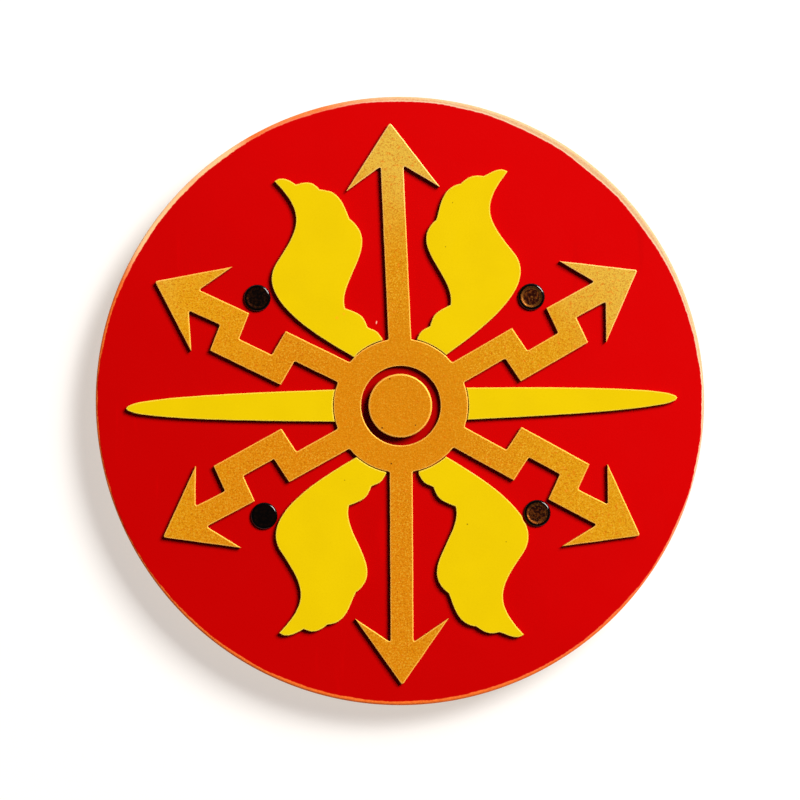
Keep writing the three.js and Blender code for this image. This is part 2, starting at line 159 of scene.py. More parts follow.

# The rim: from where to where it turns pink, and where it turns to a pale painted highlight towards the key
# light, how much of the pink and of the cream highlight shows, and its paler patches
NEAR_LINE = 1.0 * MM
RIM_PINK_BLEND = (-0.12, 0.0)
RIM_HIGHLIGHT_BLEND = (0.03, 0.15)
RIM_PINK_MOST = 0.5
RIM_HIGHLIGHT_CREAM_MOST = 0.8
RIM_PATCHES = (((159.9, 213.2), 32 * MM), ((215.6, 164.5), 19 * MM))

# How high above the back the edge is all painted, how high it is all bare, and how much that wavers
BACK_BLEND = (1.5 * MM, 1.1 * MM)
BACK_FUZZ = 0.9 * MM

# Noise patterns: the size of their features, their detail, a shift of their own, a stretch, a roughness
WAVER_NOISE = (28 * MM, 2)
FUZZ_NOISE = (2.2 * MM, 3)
BACK_FUZZ_NOISE = (9 * MM, 3)
BLOTCH_NOISE = (38 * MM, 3)
RED_SHEEN_NOISE = (20 * MM, 2, 4)
PEEL_NOISE = (1.4 * MM, 2, 1)
GRAIN_NOISE = (0.9 * MM, 4, 2, (14, 1, 1))
FIGURE_NOISE = (30 * MM, 2, 7, (14, 1, 1))
FIBRE_NOISE = (0.7 * MM, 4, 8, (30, 1, 1))
GOLD_PATCH_NOISE = (17 * MM, 2, 3)
GOLD_GRAIN_NOISE = (0.95 * MM, 2, 1, (1, 1, 1), 0.7)
GOLD_SHEEN_NOISE = (1.0 * MM, 2, 4)
GOLD_RELIEF_NOISE = (0.6 * MM, 3, 5)
YELLOW_SHEEN_NOISE = (12 * MM, 2, 4)
YELLOW_RELIEF_NOISE = (1.5 * MM, 2, 5)
BRASS_MOTTLE_NOISE = (1.2 * MM, 3, 1)
BRONZE_RELIEF_NOISE = (0.8 * MM, 3, 3)
LEATHER_TONE_NOISE = (14 * MM, 4, 1)
THREAD_TWIST_NOISE = (0.25 * MM, 1, 2)
FLOOR_TONE_NOISE = (400 * MM, 2)
LEATHER_GRAIN_SIZE = 0.9 * MM
RING_COUNT = 7

# How far noise shifts the places where the painted light on the red and the painted sheen on the gold
# change, and depths of fine relief
BLOTCH_REACH = 50 * MM
GOLD_PATCH_REACH = 20 * MM
BOARD_RELIEF = 0.03 * MM
GOLD_RELIEF = 0.05 * MM
YELLOW_RELIEF = 0.025 * MM
BRONZE_RELIEF = 0.012 * MM
LEATHER_RELIEF = 0.06 * MM
THREAD_RELIEF = 0.05 * MM

# From where to where a pattern, or a distance in metres, turns one colour into the next
SOFT_BLEND = (0.3, 0.7)
RED_KEY_LIT_BLEND = (-0.16, 0.16)
RING_BLEND = (0.1, 0.5)
GOLD_SHEEN_WARM_BLEND = (0.07, 0.17)
GOLD_SHEEN_PALE_BLEND = (0.15, 0.22)
GOLD_FAR_BLEND = (-0.12, 0.14)
GOLD_OUTER_BLEND = (0.035, 0.06)
BRASS_MOTTLE_BLEND = (0.46, 0.62)
LEATHER_GRAIN_BLEND = (0.0, 0.3)
SPOT_FADE = (1.5, 0.5)
SCRATCH_FADE = (1.3, 0.5)

# Marks: a noise pattern, from where to where they blend in, and how much of them shows at most
STREAKS = ((7 * MM, 3, 3, (1, 9, 1)), (0.62, 0.8))
RIM_GRAIN = ((1.1 * MM, 3, 5), SOFT_BLEND)
WOOD_FLECKS = ((1.3 * MM, 1, 9, (9, 1, 1)), (0.7, 0.82), 0.5)
YELLOW_TONE = ((22 * MM, 3, 1), SOFT_BLEND)
BRASS_SPECKS = ((0.9 * MM, 1, 2), (0.62, 0.74))
PORES = ((0.5 * MM, 2, 2), (0.55, 0.7), 0.5)
THREAD_TONE = ((0.5 * MM, 2), SOFT_BLEND)
FIBRE_MOST = 0.45
# How much painted highlight shows at most along the rounded edges of the gold and of the yellow pieces
GOLD_EDGE_HIGHLIGHT_MOST = 0.8
YELLOW_EDGE_HIGHLIGHT_MOST = 0.4
YELLOW_FLECK_MOST = 0.5
YELLOW_PIT_MOST = 0.7
BURNISH_MOST = 0.85

# How metallic, glossy and rough the surfaces are
RED_SPECULAR = 0.045
YELLOW_SPECULAR = 0.08
GOLD_SPECULAR = 0.12
LEATHER_SPECULAR = 0.4
RIM_METALLIC = 0.05
GOLD_METALLIC = (0.5, 0.3)
BRONZE_COAT = 0.9
BRONZE_COAT_ROUGHNESS = 0.12
PAINT_ROUGHNESS = (0.3, 0.38)
BARE_ROUGHNESS = 0.28
GOLD_ROUGHNESS = (0.38, 0.56)
BRONZE_ROUGHNESS = (0.16, 0.42)
BRONZE_SWAY = (-0.05, 0.08)
LEATHER_ROUGHNESS = (0.5, 0.66)
BURNISH_POLISH = 0.15
THREAD_ROUGHNESS = 0.55
FLOOR_ROUGHNESS = 0.9

# The sockets of a mix node that takes colours
MIX_INPUTS = (0, 6, 7)
MIX_OUTPUT = 2

# The red is painted lighter towards the key light on the upper right, as painted light, and the gold's
# painted sheen is deepest round a point low on the left
UPWARDS = (0, 0, 1)
TOWARDS_KEY_LIGHT = (0.75, 0.66, 0)
GOLD_DEEPEST = (-30 * MM, -70 * MM)
GOLD_DEEP_OVAL = (0.8, 1.2)

# Pinholes, as a pixel of the photograph and a radius
GOLD_PITS = (
    ((382.2, 427.8), 0.45 * MM),
    ((415.3, 425.1), 0.35 * MM),
    ((389.8, 378.9), 0.35 * MM),
    ((391.2, 463.5), 0.4 * MM),
)
YELLOW_PITS = (
    ((467.2, 524.0), 0.4 * MM),
    ((452.5, 203.0), 0.3 * MM),
    ((445.5, 247.0), 0.3 * MM),
    ((344.7, 480.0), 0.3 * MM),
    ((506.0, 541.5), 0.3 * MM),
)

# Orange flecks on the upper left wing, and a scratch in each paint: a middle, a reach either way, a width
YELLOW_FLECKS = (((337.0, 318.0), 0.9 * MM), ((344.0, 314.0), 0.8 * MM))
RED_SCRATCH = ((376.5, 322.5), (0.2 * MM, 0.9 * MM), 0.35 * MM)
YELLOW_SCRATCH = ((472.8, 472.6), (1.3 * MM, -0.9 * MM), 0.4 * MM)

# Camera: straight above the face, far enough off that the raised emblem keeps its place
CAMERA_DISTANCE = 2.5
SENSOR_WIDTH = 36
LENS_PER_METRE = 13.69 / 0.175
AIM = (0.06 * MM, 0.58 * MM)

# Studio: one soft key light, a pale band of wall round a dark ceiling, and a pale floor that glows a little
KEY_TILT = math.radians(44)
KEY_TURN = math.radians(41)
KEY_DISTANCE = 12.0
KEY_SIZE = 5.0
KEY_POWER = 2500
KEY_COLOUR = (1, 0.985, 0.96)
WALL_TOP = 0.1
CEILING_START = 0.3
WALL_BRIGHTNESS = 0.95
CEILING_BRIGHTNESS = 0.04
FLOOR_SIZE = 12
FLOOR_GAP = 0.02 * MM
FLOOR_GLOW = 0.57


# Outlines


def on_face(pixel_x, pixel_y):
    """The place on the face of a point in the photograph."""
    return ((pixel_x - PHOTO_CENTRE[0]) * PIXEL, (PHOTO_CENTRE[1] - pixel_y) * PIXEL)


def middle(node):
    """The middle of a node's box, seen from above."""
    low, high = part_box(node)
    return (low.xy + high.xy) / 2


def top_loops(node):
    """The loops round a flat node's top face, as 2-D points with the material on their left."""
    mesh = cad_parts[node].data
    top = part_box(node)[1].z
    places = [tuple(round(value, PLACE_DIGITS) for value in vertex.co) for vertex in mesh.vertices]
    edges = set()
    for polygon in mesh.polygons:
        corners = [places[i] for i in polygon.vertices]
        if min(corner[2] for corner in corners) > top - FLAT:
            edges.update(zip(corners, corners[1:] + corners[:1]))
    following = {start: end for start, end in edges if (end, start) not in edges}
    loops = []
    while following:
        first = min(following)
        loop = [first]
        point = following.pop(first)
        while point != first:
            loop.append(point)
            point = following.pop(point)
        loops.append([Vector(corner[:2]) for corner in loop])
    return loops


def turn_at(points, i):
    """How far the outline turns to the left at point i."""
    count = len(points)
    before = points[i % count] - points[(i - 1) % count]
    after = points[(i + 1) % count] - points[i % count]
    return math.atan2(before.cross(after), before.dot(after))


def turned(direction, angle):
    """The direction turned to the left."""
    cosine, sine = math.cos(angle), math.sin(angle)
    return Vector((direction.x * cosine - direction.y * sine, direction.x * sine + direction.y * cosine))


def line_directions(points, i):
    """The directions in which the outline comes to point i and leaves it."""
    before = points[i] - points[i - 1]
    after = points[(i + 1) % len(points)] - points[i]
    turn = abs(turn_at(points, i))
    last_turn = turn_at(points, i - 1)
    next_turn = turn_at(points, i + 1)
    is_notch = turn_at(points, i) < -NOTCH_TURN and min(last_turn, next_turn) > -turn / 2
    coming, leaving = before.normalized(), after.normalized()
    shorter = min(before.length, after.length)
    if is_notch and max(last_turn, next_turn) < CORNER_TURN:
        return turned(coming, last_turn / 2), turned(leaving, -next_turn / 2)
    if turn > CORNER_TURN and shorter > SHORT_EDGE or shorter > STRAIGHT_EDGE:
        return coming, leaving
    if before.length > STRAIGHT_EDGE:
        return coming, coming
    if after.length > STRAIGHT_EDGE:
        return leaving, leaving
    along = (coming * after.length + leaving * before.length).normalized()
    return along, along


def refined(points):
    """The outline with its round stretches as smooth curves. Straight edges and sharp corners stay."""
    directions = [line_directions(points, i) for i in range(len(points))]
    fine = []
    for i, start in enumerate(points):
        end = points[(i + 1) % len(points)]
        chord = (end - start).length
        leaving = directions[i][1] * chord
        coming = directions[(i + 1) % len(points)][0] * chord
        steps = max(2, math.ceil(chord / OUTLINE_STEP))
        for k in range(steps):
            t = k / steps
            fine.append(
                start * (2 * t**3 - 3 * t**2 + 1)
                + leaving * (t**3 - 2 * t**2 + t)
                + end * (3 * t**2 - 2 * t**3)
                + coming * (t**3 - t**2)
            )
    return fine


def hand_sawn(points):
    """The outline as a saw held by hand leaves it."""
    sawn = []
    for i, point in enumerate(points):
        along = (points[(i + 1) % len(points)] - points[i - 1]).normalized()
        inward = Vector((-along.y, along.x))
        wander = noise.noise(Vector((point.x, point.y, 0)) / SAW_WAVE)
        sawn.append(point + inward * SAW_WANDER * wander)
    return sawn


def inset(points, distance):
    """The closed outline moved into the material. Edges that this turns round shrink to a point."""
    count = len(points)
    along = [(points[(i + 1) % count] - points[i]).normalized() for i in range(count)]
    inward = [Vector((-direction.y, direction.x)) for direction in along]

    def meeting(before, edge):
        """Where the moved edge 'before' meets the moved edge 'edge'."""
        if (before + 1) % count == edge:
            reach = 1 + inward[before].dot(inward[edge])
            return points[edge] + (inward[before] + inward[edge]) * (distance / reach)
        start = points[before] + inward[before] * distance
        other = points[edge] + inward[edge] * distance
        cross = along[before].cross(along[edge])
        if abs(cross) < PARALLEL:
            return (points[(before + 1) % count] + inward[before] * distance + other) / 2
        return start + along[before] * ((other - start).cross(along[edge]) / cross)

    active = list(range(count))
    while True:
        corners = [meeting(active[k - 1], edge) for k, edge in enumerate(active)]
        kept = [
            edge
            for k, edge in enumerate(active)
            if (corners[(k + 1) % len(active)] - corners[k]).dot(along[edge]) >= 0
        ]
        if len(kept) == len(active):
            break
        active = kept
    moved = []
    k = 0
    for i in range(count):
        while k < len(active) and active[k] < i:
            k += 1
        moved.append(corners[k % len(active)])
    return moved


# Meshes


def quarter_round(rounding, steps=ROUNDING_STEPS):
    """A rounded edge from its wall to its flat: how far in and how far short of the full height."""
    angles = [math.pi / 2 * i / steps for i in range(steps + 1)]
    return [(rounding * (1 - math.cos(angle)), rounding * (1 - math.sin(angle))) for angle in angles]


def highlit_edge(rounding, top):
    """The same round as far in, height, and a value from 0 to 1 for the painted highlight on the edge, which
    covers all of it but its inner rim.
    """
    return [(far, top - short, 1 if far < rounding else 0) for far, short in quarter_round(rounding)]


def is_anticlockwise(row):
    """Whether a closed row of points runs anticlockwise, seen from above."""
    area = sum(a.co.xy.cross(b.co.xy) for a, b in zip(row, row[1:] + row[:1]))
    return area > 0


def ring(bm, places, wear_and_highlight):
    """A row of points sharing one value from 0 to 1: how worn the finish is there, and on the emblem's
    rounded edges how strong their painted highlight is.
    """
    layer = bm.verts.layers.float.get("wear_and_highlight") or bm.verts.layers.float.new("wear_and_highlight")
    row = []
    for place in places:
        vertex = bm.verts.new(place)
        vertex[layer] = wear_and_highlight
        row.append(vertex)
    return row


def bridge(bm, rows):
    """Closed bands of faces between each row and the next one. A pole is a row of one point."""
    for outer, inner in zip(rows, rows[1:]):
        for i in range(max(len(outer), len(inner))):
            places = ((outer, i), (outer, i + 1), (inner, i + 1), (inner, i))
            corners = [row[k % len(row)] for row, k in places]
            bm.faces.new(list(dict.fromkeys(corners)))


def fill(bm, rings, up):
    """A flat face between closed rows: the first goes round it, the others are holes in it."""
    vertices = [vertex for row in rings for vertex in row]
    faces = []
    first = 0
    for row in rings:
        loop = list(range(first, first + len(row)))
        faces.append(loop if first == 0 or is_anticlockwise(row) else loop[::-1])
        first += len(row)
    places = [vertex.co.xy for vertex in vertices]
    result = delaunay_2d_cdt(places, [], faces, TRIANGLES_INSIDE, WELD)
    _, _, triangles, sources, _, inside = result
    for triangle, owners in zip(triangles, inside):
        if owners == [0]:
            corners = [vertices[sources[i][0]] for i in triangle]
            bm.faces.new(corners if up else corners[::-1])


def new_object(name, data):
    """An object with that data, in the scene."""
    obj = bpy.data.objects.new(name, data)
    bpy.context.scene.collection.objects.link(obj)
    return obj


def finished_mesh(name, bm):
    """An object with the mesh, its faces pointing out, smooth but for its sharp edges."""
    bmesh.ops.remove_doubles(bm, verts=bm.verts, dist=WELD)
    bmesh.ops.recalc_face_normals(bm, faces=bm.faces)
    mesh = bpy.data.meshes.new(name)
    bm.to_mesh(mesh)
    bm.free()
    mesh.shade_smooth()
    mesh.set_sharp_from_angle(angle=SHARP_EDGE)
    return new_object(name, mesh)


def sheet_piece(node):
    """A flat piece of the emblem with its outline hand sawn and its edges rounded."""
    low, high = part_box(node)
    bm = bmesh.new()
    tops = []
    bottoms = []
    for loop in top_loops(node):
        outline = hand_sawn(refined(loop))
        under = reversed(quarter_round(SHEET_BOTTOM_ROUNDING, COARSE_STEPS))
        section = [
            *((far, low.z + short, 0) for far, short in under),
            # The top edge's round carries the painted highlight
            *highlit_edge(SHEET_TOP_ROUNDING, high.z),
            (SHEET_TOP_ROUNDING + FLAT_MARGIN, high.z, 0),
        ]
        rows = [
            ring(bm, [(*point, height) for point in inset(outline, far)], wear_and_highlight)
            for far, height, wear_and_highlight in section
        ]
        bridge(bm, rows)
        bottoms.append(rows[0])
        tops.append(rows[-1])
    fill(bm, tops, up=True)
    fill(bm, bottoms, up=False)
    return finished_mesh(f"{node}_piece", bm)


def circle(centre, radius, height, segments):
    """Points round an upright axis."""
    angles = [2 * math.pi * i / segments for i in range(segments)]
    return [
        (centre[0] + radius * math.cos(angle), centre[1] + radius * math.sin(angle), height)
        for angle in angles
    ]


def turned_piece(name, centre, profile, segments):
    """A piece turned about an upright axis, from a profile of radius, height and a value for worn finish and
    painted edge highlight, bottom first.
    """
    bm = bmesh.new()
    rows = []
    for radius, height, wear_and_highlight in profile:
        places = circle(centre, radius, height, segments) if radius else [(*centre, height)]
        rows.append(ring(bm, places, wear_and_highlight))
    bridge(bm, rows)
    return finished_mesh(name, bm)


def board_piece():
    """The board, with a rounded edge in front and behind, and a hole for each bolt."""
    low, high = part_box("shield_board")
    centre = middle("shield_board")
    radius = high.x - centre.x - BOARD_CLEARANCE
    bm = bmesh.new()
    behind = [
        (BOARD_BACK_ROUNDING + FLAT_MARGIN, low.z),
        *((far, low.z + short) for far, short in reversed(quarter_round(BOARD_BACK_ROUNDING))),
    ]
    ahead = [
        *((far, high.z - short) for far, short in quarter_round(BOARD_FRONT_ROUNDING, 2 * ROUNDING_STEPS)),
        (BOARD_FRONT_ROUNDING + FLAT_MARGIN, high.z),
    ]
    rows = [
        ring(bm, circle(centre, radius - far, height, BOARD_SEGMENTS), 0)
        for far, height in behind + ahead
    ]
    bridge(bm, rows)
    fronts = [rows[-1]]
    backs = [rows[0]]
    for quarter in QUARTERS:
        hole = SHANK_RADIUS + SHANK_CLEARANCE
        place = middle(f"bolt_{quarter}")
        walls = [
            ring(bm, circle(place, hole, height, FASTENER_SEGMENTS), 0) for height in (low.z, high.z)
        ]
        bridge(bm, walls)
        backs.append(walls[0])
        fronts.append(walls[1])
    fill(bm, fronts, up=True)
    fill(bm, backs, up=False)
    return finished_mesh("shield_board_piece", bm)


def boss_piece():
    """The boss, a disc with a rounded upper edge."""
    low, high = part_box("centre_boss")
    centre = middle("centre_boss")
    radius = (high.x - low.x) / 2
    profile = [
        (0, low.z, 0),
        (radius - SHEET_BOTTOM_ROUNDING, low.z, 0),
        (radius, low.z + SHEET_BOTTOM_ROUNDING, 0),
        # The top edge's round carries the painted highlight
        *((radius - far, height, wear_and_highlight) for far, height, wear_and_highlight in highlit_edge(BOSS_TOP_ROUNDING, high.z)),
        (radius - BOSS_TOP_ROUNDING - FLAT_MARGIN, high.z, 0),
        (0, high.z, 0),
    ]
    return turned_piece("centre_boss_piece", centre, profile, BOSS_SEGMENTS)


def bolt_piece(quarter):
    """A bolt with a rounded shoulder round a shallow dish, and its shank behind."""
    node = f"bolt_{quarter}"
    low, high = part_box(node)
    radius = (high.x - low.x) / 2
    under = high.z - BOLT_HEAD_HEIGHT
    land = BOLT_RECESS_RADIUS + FLAT_MARGIN
    floor_radius = BOLT_RECESS_RADIUS - BOLT_RECESS_SLOPE
    depth, worn = DISHES[quarter]
    floor = high.z - depth
    dish = [
        (
            BOLT_RECESS_RADIUS - BOLT_RECESS_SLOPE * share,
            high.z - depth * (1 - math.cos(math.pi * share)) / 2,
            worn,
        )
        for share in (i / BOLT_DISH_STEPS for i in range(1, BOLT_DISH_STEPS + 1))
    ]
    profile = [
        (0, low.z, 0),
        (SHANK_RADIUS - SHANK_CLEARANCE, low.z, 0),
        (SHANK_RADIUS, low.z + SHANK_CLEARANCE, 0),
        (SHANK_RADIUS, under, 0),
        (radius - SHEET_BOTTOM_ROUNDING, under, 0),
        (radius, under + SHEET_BOTTOM_ROUNDING, 0),
        *((radius - far, high.z - short, 0) for far, short in quarter_round(BOLT_SHOULDER, FINE_STEPS)),
        (land, high.z, 0),
        (BOLT_RECESS_RADIUS, high.z, BOLT_LAND_WEAR * worn),
        *dish,
        (floor_radius - FLAT_MARGIN, floor, BOLT_FLOOR_WEAR * worn),
        (0, floor, BOLT_FLOOR_WEAR * worn),
    ]
    return turned_piece(f"{node}_piece", middle(node), profile, FASTENER_SEGMENTS)


def nut_piece(quarter):
    """A cap nut with a blind bore."""
    node = f"nut_{quarter}"
    low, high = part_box(node)
    radius = (high.x - low.x) / 2
    bore = SHANK_RADIUS + SHANK_CLEARANCE
    bore_end = high.z - NUT_GRIP - SHANK_CLEARANCE
    round_over = reversed(quarter_round(NUT_ROUNDING, FINE_STEPS))
    profile = [
        (0, low.z, 0),
        (radius - NUT_ROUNDING - FLAT_MARGIN, low.z, 0),
        *((radius - far, low.z + short, 0) for far, short in round_over),
        (radius, high.z - SHEET_BOTTOM_ROUNDING, 0),
        (radius - SHEET_BOTTOM_ROUNDING, high.z, 0),
        (bore, high.z, 0),
        (bore, bore_end, 0),
        (0, bore_end, 0),
    ]
    return turned_piece(f"{node}_piece", middle(node), profile, FASTENER_SEGMENTS)


class StrapLine:
    """The middle line of a strap between two bolts, read from its node, and places beside it."""

    def __init__(self, node, top_bolt, bottom_bolt):
        top = middle(f"bolt_{top_bolt}")
        bottom = middle(f"bolt_{bottom_bolt}")
        self.centre = (top + bottom) / 2
        self.along = (top - bottom).normalized()
        self.across = Vector((self.along.y, -self.along.x))
        self.half_span = (top - bottom).length / 2
        places = np.array([vertex.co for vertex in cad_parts[node].data.vertices])
        offset = places[:, :2] - np.array(self.centre)
        reach = np.abs(offset @ np.array(self.along))
        beside = np.abs(offset @ np.array(self.across))
        height = places[:, 2]
        crown = reach[height < FLAT].max()
        self.thickness = height[(reach < crown + FLAT) & (height > FLAT)].min()
        self.half_width = beside.max()
        high = height.max() - self.thickness / 2
        tab = reach[height > height.max() - FLAT].min()
        self.set_line(crown, tab, self.thickness / 2, high)

    def set_line(self, crown, tab, low, high):
        """Samples the line: a flat crown, a slope on each side of it, and flat tabs."""
        reach = np.concatenate([np.arange(0, self.half_span, STRAP_SAMPLE), [self.half_span]])
        share = np.clip((reach - crown) / (tab - crown), 0, 1)
        rise = (1 - np.cos(np.pi * share)) / 2
        self.reach = reach
        self.height = low + (high - low) * rise
        self.slope = np.gradient(self.height, reach)
        steps = np.hypot(np.diff(reach), np.diff(self.height))
        self.length = np.concatenate([[0], np.cumsum(steps)])
        self.half_length = self.length[-1]

    def place(self, flat_along, flat_beside, lift):
        """A point of the flat strap, lifted off its middle plane, once the strap is bent into place."""
        far = abs(flat_along)
        side = math.copysign(1, flat_along)
        past = max(0, far - self.half_length)
        reach = np.interp(far, self.length, self.reach) + past
        height = np.interp(far, self.length, self.height)
        slope = 0 if past else np.interp(far, self.length, self.slope)
        stretch = math.hypot(1, slope)
        along = side * (reach - lift * slope / stretch)
        plan = self.centre + self.along * along + self.across * flat_beside
        return Vector((plan.x, plan.y, height + lift / stretch))


def strap_stations(line):
    """Points round the flat strap's outline: the middle of its width there, and the way out."""
    count = math.ceil(2 * line.half_length / STRAP_STEP)
    side = [line.half_length * (2 * i / count - 1) for i in range(count + 1)]
    turn = [math.pi * i / STRAP_END_STEPS for i in range(1, STRAP_END_STEPS)]
    stations = [(along, (0, -1)) for along in side]
    stations += [(line.half_length, (math.sin(angle), -math.cos(angle))) for angle in turn]
    stations += [(along, (0, 1)) for along in reversed(side)]
    stations += [(-line.half_length, (-math.sin(angle), math.cos(angle))) for angle in turn]
    return stations


def strap_section(line):
    """The strap's edge from the middle of its upper face to that of its lower one: inset and lift."""
    half = line.thickness / 2
    groove = STITCH_GROOVE_WIDTH / 2
    section = STITCH_GROOVE_SECTION
    upper = [
        *((STITCH_INSET + out * groove, half - deep * STITCH_GROOVE_DEPTH) for out, deep in section),
        (STRAP_EDGE_ROUNDING + FLAT_MARGIN, half),
        *((far, half - short) for far, short in reversed(quarter_round(STRAP_EDGE_ROUNDING))),
    ]
    lower = [(far, -lift) for far, lift in reversed(upper)]
    return upper + lower


def fill_across(bm, row):
    """The flat middle of a strap's face, in strips from one long side to the other."""
    count = len(row)
    half_turn = STRAP_END_STEPS // 2
    for i in range(-half_turn, count // 2 - half_turn):
        mirrored = -STRAP_END_STEPS - i
        corners = [row[k % count] for k in (i, i + 1, mirrored - 1, mirrored)]
        bm.faces.new(list(dict.fromkeys(corners)))


def drill(obj, place, radius):
    """Cuts an upright round hole right through the object."""
    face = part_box("shield_board")[1].z
    cutter_profile = [(0, -face, 0), (radius, -face, 0), (radius, 2 * face, 0), (0, 2 * face, 0)]
    cutter = turned_piece("cutter", place, cutter_profile, FASTENER_SEGMENTS)
    cut = obj.modifiers.new("hole", "BOOLEAN")
    cut.operation = "DIFFERENCE"
    cut.solver = "EXACT"
    cut.object = cutter
    result = obj.evaluated_get(bpy.context.evaluated_depsgraph_get())
    mesh = bpy.data.meshes.new_from_object(result)
    obj.modifiers.clear()
    obj.data = mesh
    bpy.data.objects.remove(cutter)


def strap_piece(node, line):
    """A leather strap with rounded edges and a stitching groove on both faces."""
    bm = bmesh.new()
    stations = strap_stations(line)
    rows = []
    for far, lift in strap_section(line):
        out = line.half_width - far
        places = [line.place(along + out * way[0], out * way[1], lift) for along, way in stations]
        rows.append(ring(bm, places, max(0, 1 - far / STRAP_EDGE_ROUNDING)))
    bridge(bm, rows)
    fill_across(bm, rows[0])
    fill_across(bm, rows[-1])
    strap = finished_mesh(f"{node}_piece", bm)
    for bolt in STRAPS[node]:
        drill(strap, middle(f"bolt_{bolt}"), SHANK_RADIUS + SHANK_CLEARANCE)
    return strap


def around_strap(line, distance, travelled):
    """The place at a distance along the stitching line: along the strap and beside its middle."""
    side = 2 * line.half_length
    turn = math.pi * distance
    travelled %= 2 * (side + turn)
    back = travelled >= side + turn
    travelled -= (side + turn) * back
    sign = -1 if back else 1
    if travelled < side:
        return sign * (travelled - line.half_length), -sign * distance
    angle = (travelled - side) / distance
    return sign * (line.half_length + distance * math.sin(angle)), -sign * distance * math.cos(angle)


def thread_round(line, distance, travelled, lift, face, radius):
    """Points round the thread at one place along the stitching line."""
    spot = around_strap(line, distance, travelled)
    here = line.place(*spot, face * lift)
    above = line.place(*spot, face * (lift + THREAD_PROBE))
    ahead = line.place(*around_strap(line, distance, travelled + THREAD_PROBE), face * lift)
    up = (above - here).normalized()
    beside = (ahead - here).normalized().cross(up)
    angles = [2 * math.pi * i / THREAD_SIDES for i in range(THREAD_SIDES)]
    return [here + radius * (math.cos(a) * up + math.sin(a) * beside) for a in angles]


def stitches_piece(node, line):
    """The thread of a strap: a row of short stitches in the groove round each face."""
    bm = bmesh.new()
    distance = line.half_width - STITCH_INSET
    whole = 2 * (2 * line.half_length + math.pi * distance)
    count = round(whole / STITCH_PITCH)
    crown = line.thickness / 2 - STITCH_GROOVE_DEPTH + THREAD_RISE * THREAD_RADIUS
    for face in (1, -1):
        for stitch in range(count):
            rows = []
            for station in range(THREAD_STATIONS):
                share = 2 * station / (THREAD_STATIONS - 1) - 1
                travelled = whole * stitch / count + share * STITCH_LENGTH / 2
                lift = crown - THREAD_DIVE * THREAD_RADIUS * share**THREAD_DIVE_POWER
                radius = THREAD_RADIUS * math.sqrt(1 - THREAD_TAPER * share**THREAD_TAPER_POWER)
                places = thread_round(line, distance, travelled, lift, face, radius)
                rows.append(ring(bm, places, 0))
            bridge(bm, rows)
            bm.faces.new(rows[0])
            bm.faces.new(rows[-1])
    return finished_mesh(f"{node}_stitches", bm)


# Finishes


def linear(red, green, blue):
    """A colour of 0 to 255 a channel as the shader takes it."""
    shares = [channel / 255 for channel in (red, green, blue)]
    return [s / 12.92 if s <= 0.04045 else ((s + 0.055) / 1.055) ** 2.4 for s in shares] + [1]


# Red painted lighter towards the key light and deeper away from it: painted light
RED_KEY_LIT_SIDE = linear(199, 0, 1)
RED_SHADED_SIDE = linear(182, 0, 0)
# Painted shade: a deeper red in the groove round the boss
RED_GROOVE_SHADE = linear(166, 0, 0)
RED_STREAK = linear(193, 0, 1)
# Painted highlight on the rim towards the key light: pale, and grainy
RIM_HIGHLIGHT = linear(216, 176, 134)
RIM_HIGHLIGHT_DEEP = linear(214, 162, 112)
RIM_ORANGE = linear(238, 116, 44)
RIM_ORANGE_DEEP = linear(226, 98, 32)
RIM_PINK = linear(250, 112, 80)
RIM_PEACH = linear(248, 188, 134)
# Cream painted highlight near the paint line on the rim's key-lit side
RIM_HIGHLIGHT_CREAM = linear(248, 216, 182)
WOOD_LIGHT = linear(204, 172, 128)
WOOD_RING = linear(194, 158, 114)
WOOD_FIBRE = linear(170, 132, 88)
WOOD_FLECK = linear(126, 88, 54)
# Painted sheen on the gold: deep round a point low on the left, warm and then pale further away
GOLD_SHEEN_DEEP = linear(231, 141, 2)
GOLD_SHEEN_WARM = linear(240, 166, 8)
GOLD_SHEEN_PALE = linear(246, 197, 72)
GOLD_ORANGE = linear(232, 112, 2)
GOLD_SHADE = linear(194, 104, 0)
GOLD_GLINT = linear(240, 190, 60)
# Painted highlight along the rounded edges of the gold pieces, paler towards the key light
GOLD_EDGE_HIGHLIGHT = linear(255, 188, 78)
GOLD_EDGE_HIGHLIGHT_PALE = linear(255, 204, 122)
GOLD_WALL = linear(104, 54, 2)
# Multiplies the gold towards the key light on the upper right, darkening it by a fifth
GOLD_FAR_SIDE = (0.8, 0.8, 0.8, 1)
YELLOW_WALL = linear(150, 112, 0)
YELLOW_LIGHT = linear(220, 187, 0)
YELLOW_DEEP = linear(217, 184, 0)
# Painted highlight along the rounded edges of the yellow pieces
YELLOW_EDGE_HIGHLIGHT = linear(240, 206, 90)
YELLOW_FLECK = linear(240, 160, 20)
SCRATCH_PALE = linear(240, 180, 160)
PIT_COLOUR = linear(60, 22, 6)
BRONZE_DARK = linear(18, 12, 10)
BRONZE_BROWN = linear(80, 18, 8)
BRONZE_BRASS = linear(172, 84, 22)
BRONZE_SPECK = linear(210, 140, 50)
BRONZE_SLOPE = linear(112, 64, 20)
LEATHER_LIGHT = linear(124, 78, 44)
LEATHER_DEEP = linear(98, 58, 32)
LEATHER_PORE = linear(62, 36, 20)
THREAD_LIGHT = linear(214, 198, 160)
THREAD_DEEP = linear(180, 160, 118)
FLOOR_LIGHT = linear(178, 178, 177)
FLOOR_DEEP = linear(175, 175, 174)
FLOOR_GLOW_COLOUR = linear(255, 247, 240)

# Marks in the gold: how much of them shows near the middle and further out, and their noise and ends
GOLD_MARKS = (
    (GOLD_ORANGE, (0.35, 0.6), (2.2 * MM, 2, 2), (0.56, 0.75)),
    (GOLD_SHADE, (0.4, 0.75), GOLD_GRAIN_NOISE, (0.5, 0.3)),
    (GOLD_GLINT, (0.4, 0.7), GOLD_GRAIN_NOISE, (0.5, 0.72)),
)


